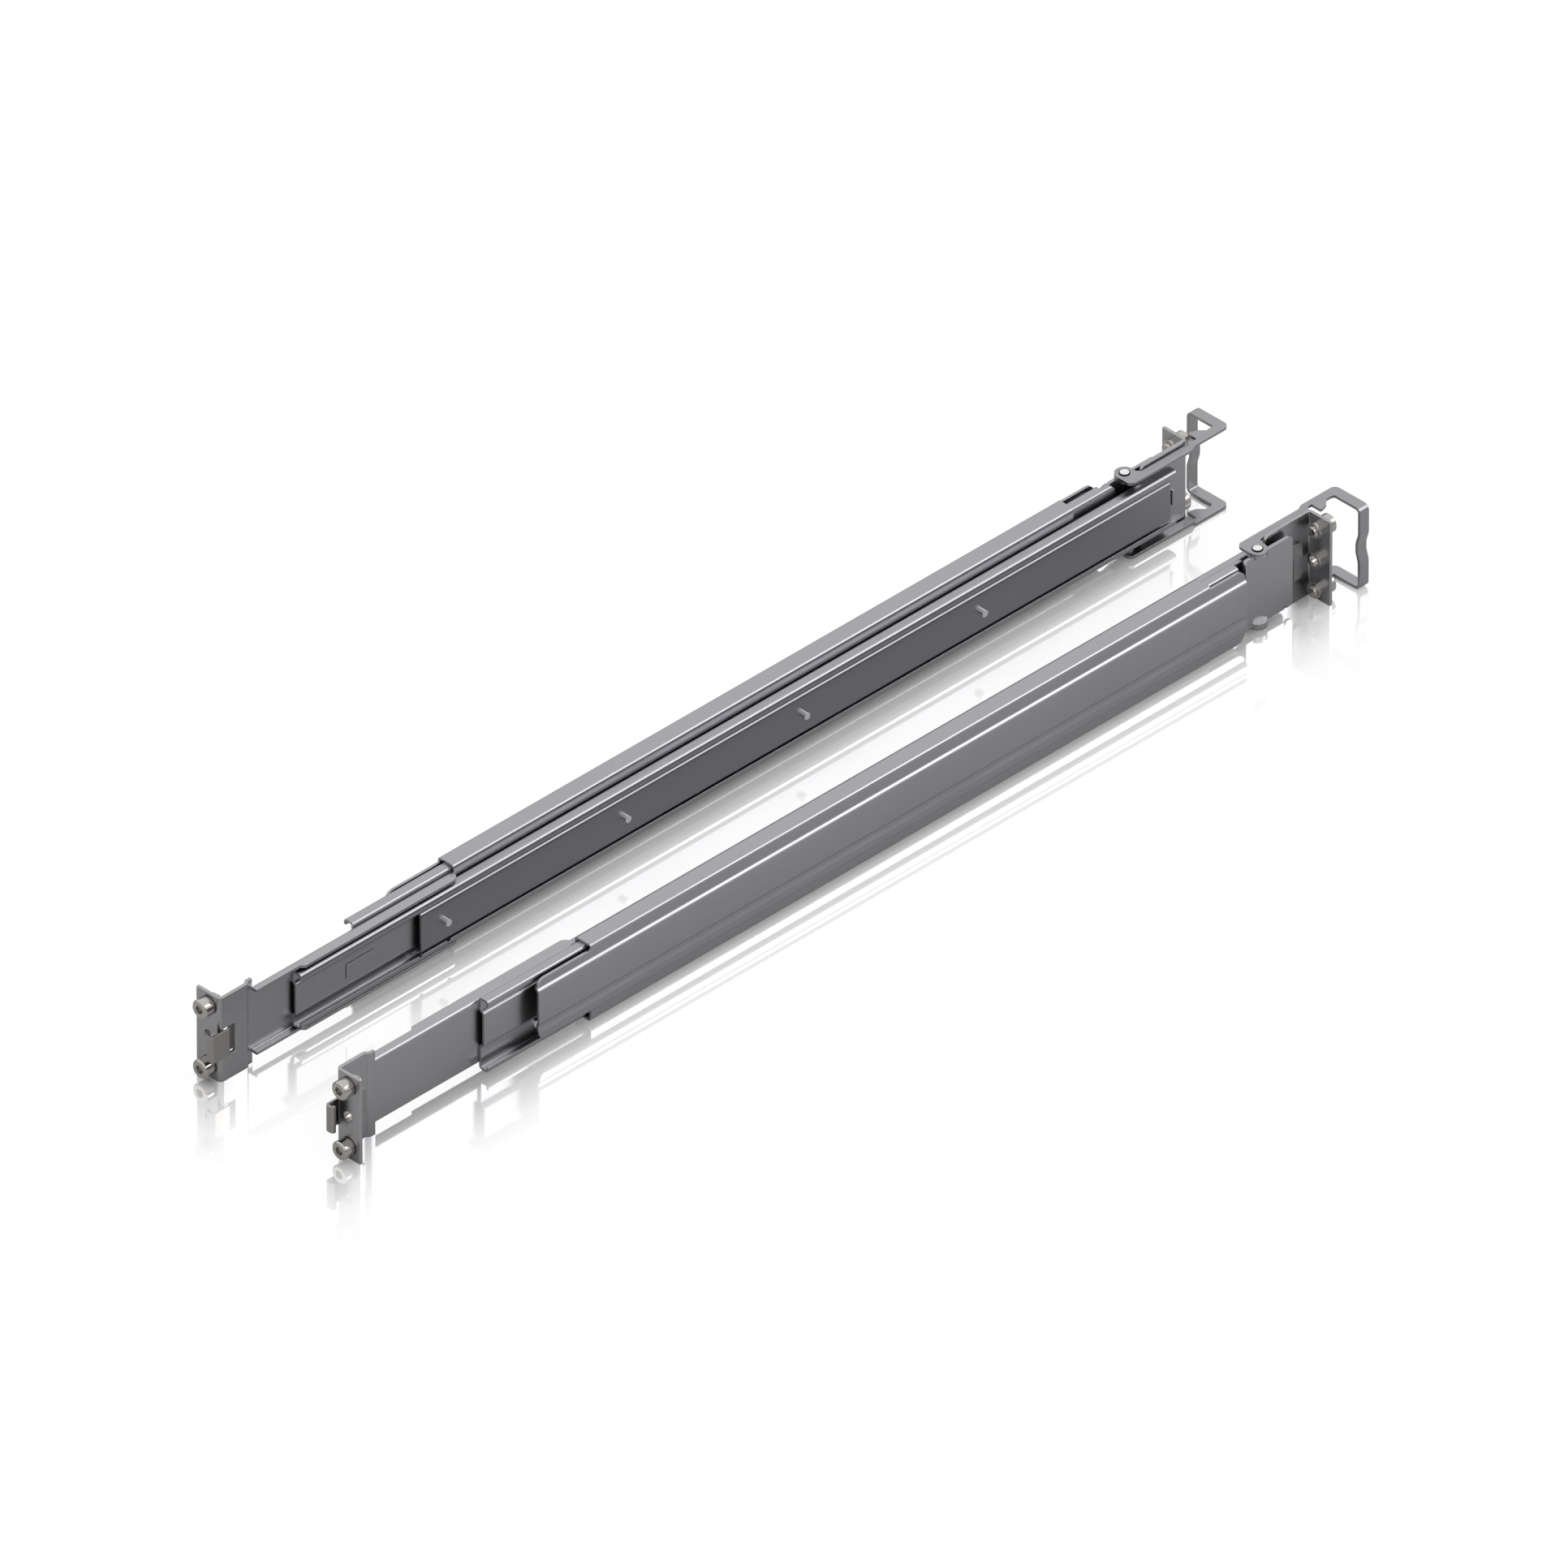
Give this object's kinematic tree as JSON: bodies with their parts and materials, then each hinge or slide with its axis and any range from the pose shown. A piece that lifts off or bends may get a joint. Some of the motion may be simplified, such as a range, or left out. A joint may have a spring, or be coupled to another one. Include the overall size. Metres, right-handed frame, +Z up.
{
  "type": "sliding server rail pair",
  "caption": "Pair of telescoping rails that slide a server in a rack, with swing rear latches, spring front hooks and ball slides.",
  "frame": {"origin": "middle of the pair, at the height of the flanges' lower edges", "axes": "+X across the rack to the right rail, +Y from the front flange to the rear, +Z up"},
  "size_m": [0.1068, 0.6237, 0.0444],
  "materials": {
    "bracket_sheet": "bright zinc-plated sheet steel",
    "rail_sheet": "bright zinc-plated sheet steel, roll formed",
    "latch_sheet": "bright zinc-plated sheet steel",
    "spring_sheet": "spring steel strip, zinc plated",
    "runner_sheet": "bright zinc-plated sheet steel",
    "cage_sheet": "pressed steel strip",
    "pin_steel": "nickel-plated turned steel",
    "rivet_steel": "headed steel, zinc plated",
    "ball_steel": "ground bearing steel"
  },
  "bodies": {
    "fixed_rails": {"right_front_bracket": "bracket_sheet", "right_outer_channel": "rail_sheet", "right_slide_outer": "rail_sheet", "right_rail_rivets": "rivet_steel", "right_front_pins": "pin_steel", "right_front_nuts": "pin_steel", "left_front_bracket": "bracket_sheet", "left_outer_channel": "rail_sheet", "left_slide_outer": "rail_sheet", "left_rail_rivets": "rivet_steel", "left_front_pins": "pin_steel", "left_front_nuts": "pin_steel"},
    "right_rear_carriage": {"right_rear_extension": "rail_sheet", "right_rear_pivot_plate": "bracket_sheet", "right_rear_bracket": "bracket_sheet", "right_carriage_rivets": "rivet_steel", "right_rear_pins": "pin_steel", "right_rear_nuts": "pin_steel", "right_latch_pivot_pins": "rivet_steel"},
    "right_rear_latch": {"right_rear_latch": "latch_sheet"},
    "right_inner_slide": {"right_slide_inner": "runner_sheet", "right_server_studs": "rivet_steel"},
    "right_ball_carrier": {"right_ball_cage": "cage_sheet", "right_bearing_balls": "ball_steel"},
    "right_front_latch": {"right_front_latch": "spring_sheet"},
    "left_rear_carriage": {"left_rear_extension": "rail_sheet", "left_rear_pivot_plate": "bracket_sheet", "left_rear_bracket": "bracket_sheet", "left_carriage_rivets": "rivet_steel", "left_rear_pins": "pin_steel", "left_rear_nuts": "pin_steel", "left_latch_pivot_pins": "rivet_steel"},
    "left_rear_latch": {"left_rear_latch": "latch_sheet"},
    "left_inner_slide": {"left_slide_inner": "runner_sheet", "left_server_studs": "rivet_steel"},
    "left_ball_carrier": {"left_ball_cage": "cage_sheet", "left_bearing_balls": "ball_steel"},
    "left_front_latch": {"left_front_latch": "spring_sheet"}
  },
  "joints": [
    {"name": "right_depth_adjust", "type": "slide", "parent": "fixed_rails", "child": "right_rear_carriage", "axis": [0, 1, 0], "range_m": [0, 0.25]},
    {"name": "right_server_slide", "type": "slide", "parent": "fixed_rails", "child": "right_inner_slide", "axis": [0, -1, 0], "range_m": [0, 0.4]},
    {"name": "right_ball_travel", "type": "slide", "parent": "fixed_rails", "child": "right_ball_carrier", "axis": [0, -1, 0], "range_m": [0, 0.2]},
    {"name": "right_rear_latch_swing", "type": "hinge", "parent": "right_rear_carriage", "child": "right_rear_latch", "pos_m": [0.04095, 0.25503, 0.0222], "axis": [0, 0, 1], "range_deg": [0, 15], "stiffness_Nm_per_rad": 0.4},
    {"name": "right_front_latch_flex", "type": "hinge", "parent": "fixed_rails", "child": "right_front_latch", "pos_m": [0.03775, -0.29768, 0.0222], "axis": [0, 0, -1], "range_deg": [0, 9], "stiffness_Nm_per_rad": 0.8},
    {"name": "left_depth_adjust", "type": "slide", "parent": "fixed_rails", "child": "left_rear_carriage", "axis": [0, 1, 0], "range_m": [0, 0.25]},
    {"name": "left_server_slide", "type": "slide", "parent": "fixed_rails", "child": "left_inner_slide", "axis": [0, -1, 0], "range_m": [0, 0.4]},
    {"name": "left_ball_travel", "type": "slide", "parent": "fixed_rails", "child": "left_ball_carrier", "axis": [0, -1, 0], "range_m": [0, 0.2]},
    {"name": "left_rear_latch_swing", "type": "hinge", "parent": "left_rear_carriage", "child": "left_rear_latch", "pos_m": [-0.04095, 0.25503, 0.0222], "axis": [0, 0, -1], "range_deg": [0, 15], "stiffness_Nm_per_rad": 0.4},
    {"name": "left_front_latch_flex", "type": "hinge", "parent": "fixed_rails", "child": "left_front_latch", "pos_m": [-0.03775, -0.29768, 0.0222], "axis": [0, 0, 1], "range_deg": [0, 9], "stiffness_Nm_per_rad": 0.8}
  ],
  "couplings": [
    {"joint": "right_ball_travel", "follows": "right_server_slide", "ratio": 0.5},
    {"joint": "left_ball_travel", "follows": "left_server_slide", "ratio": 0.5}
  ]
}
